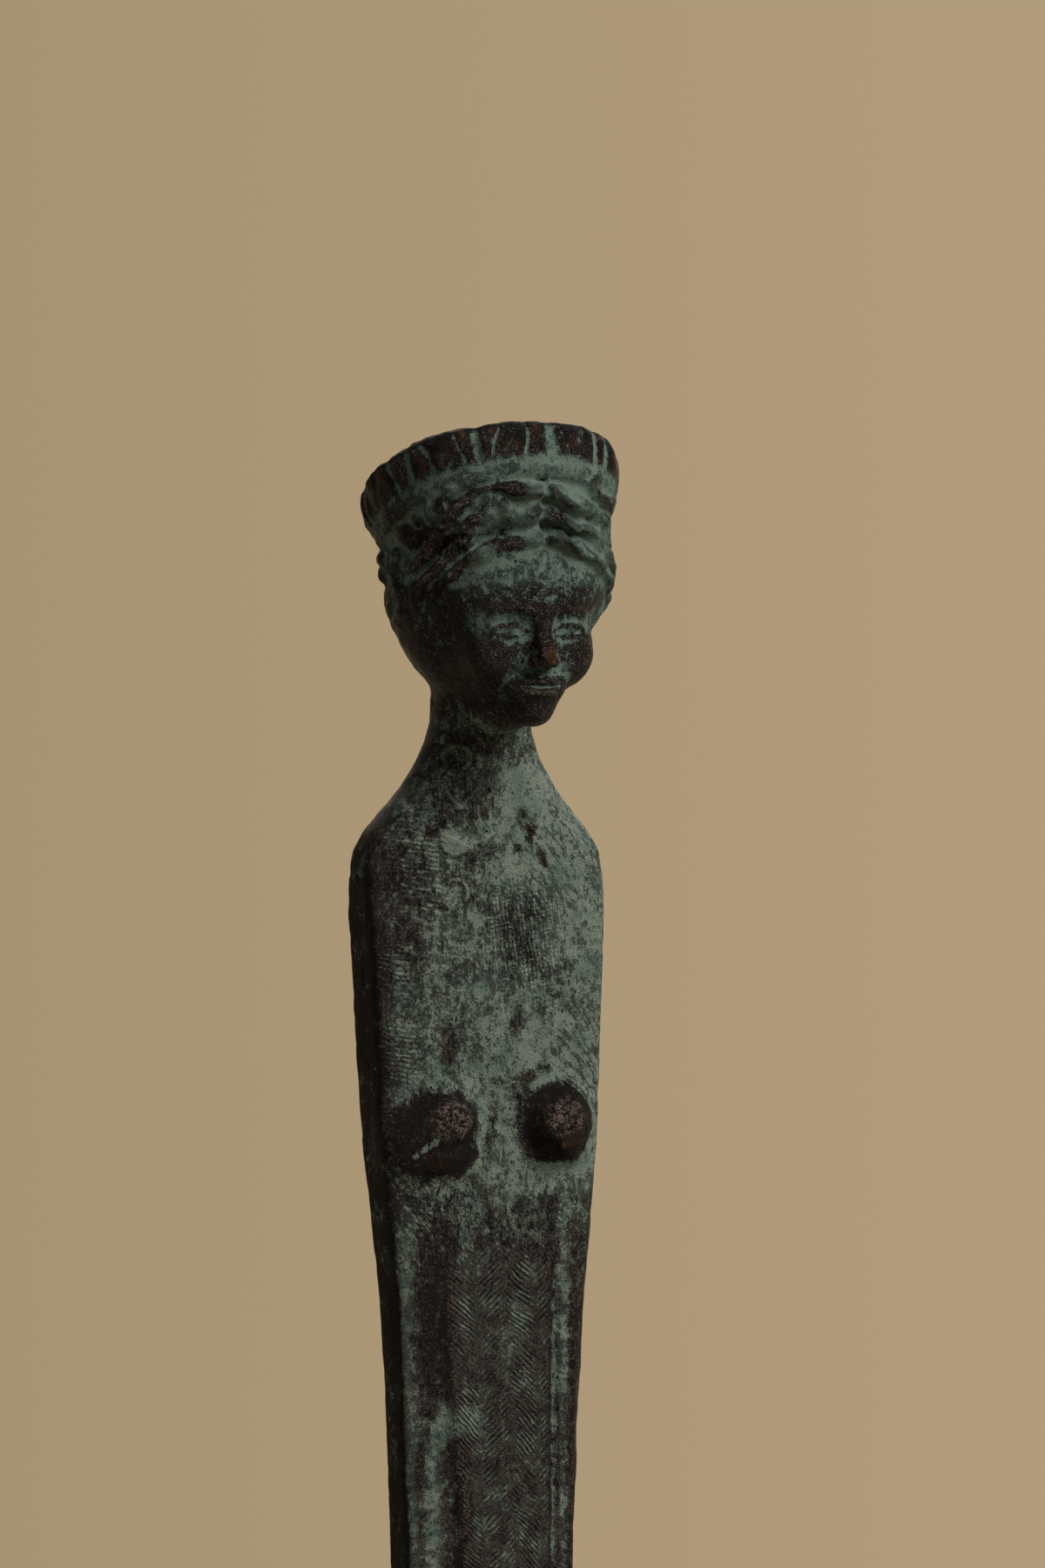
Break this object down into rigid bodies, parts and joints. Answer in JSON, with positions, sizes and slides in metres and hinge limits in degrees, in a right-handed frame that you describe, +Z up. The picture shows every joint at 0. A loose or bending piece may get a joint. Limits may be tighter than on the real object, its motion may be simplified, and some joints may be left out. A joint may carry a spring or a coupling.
{
  "type": "bronze figurine",
  "caption": "Slender cast bronze votive figurine of a draped standing woman with waved hair and a flared fluted crown, on a low rectangular base.",
  "frame": {"origin": "on the ground, under the middle of the base", "axes": "+Z up along the figure, the figure faces -Y, +X towards the figure's own left"},
  "size_m": [0.036, 0.03, 0.1996],
  "materials": {
    "patinated_bronze": "cast bronze, rough, dark brown where rubbed and matt grey-green verdigris in the hollows"
  },
  "bodies": {
    "root": {"figurine": "patinated_bronze"}
  },
  "joints": []
}
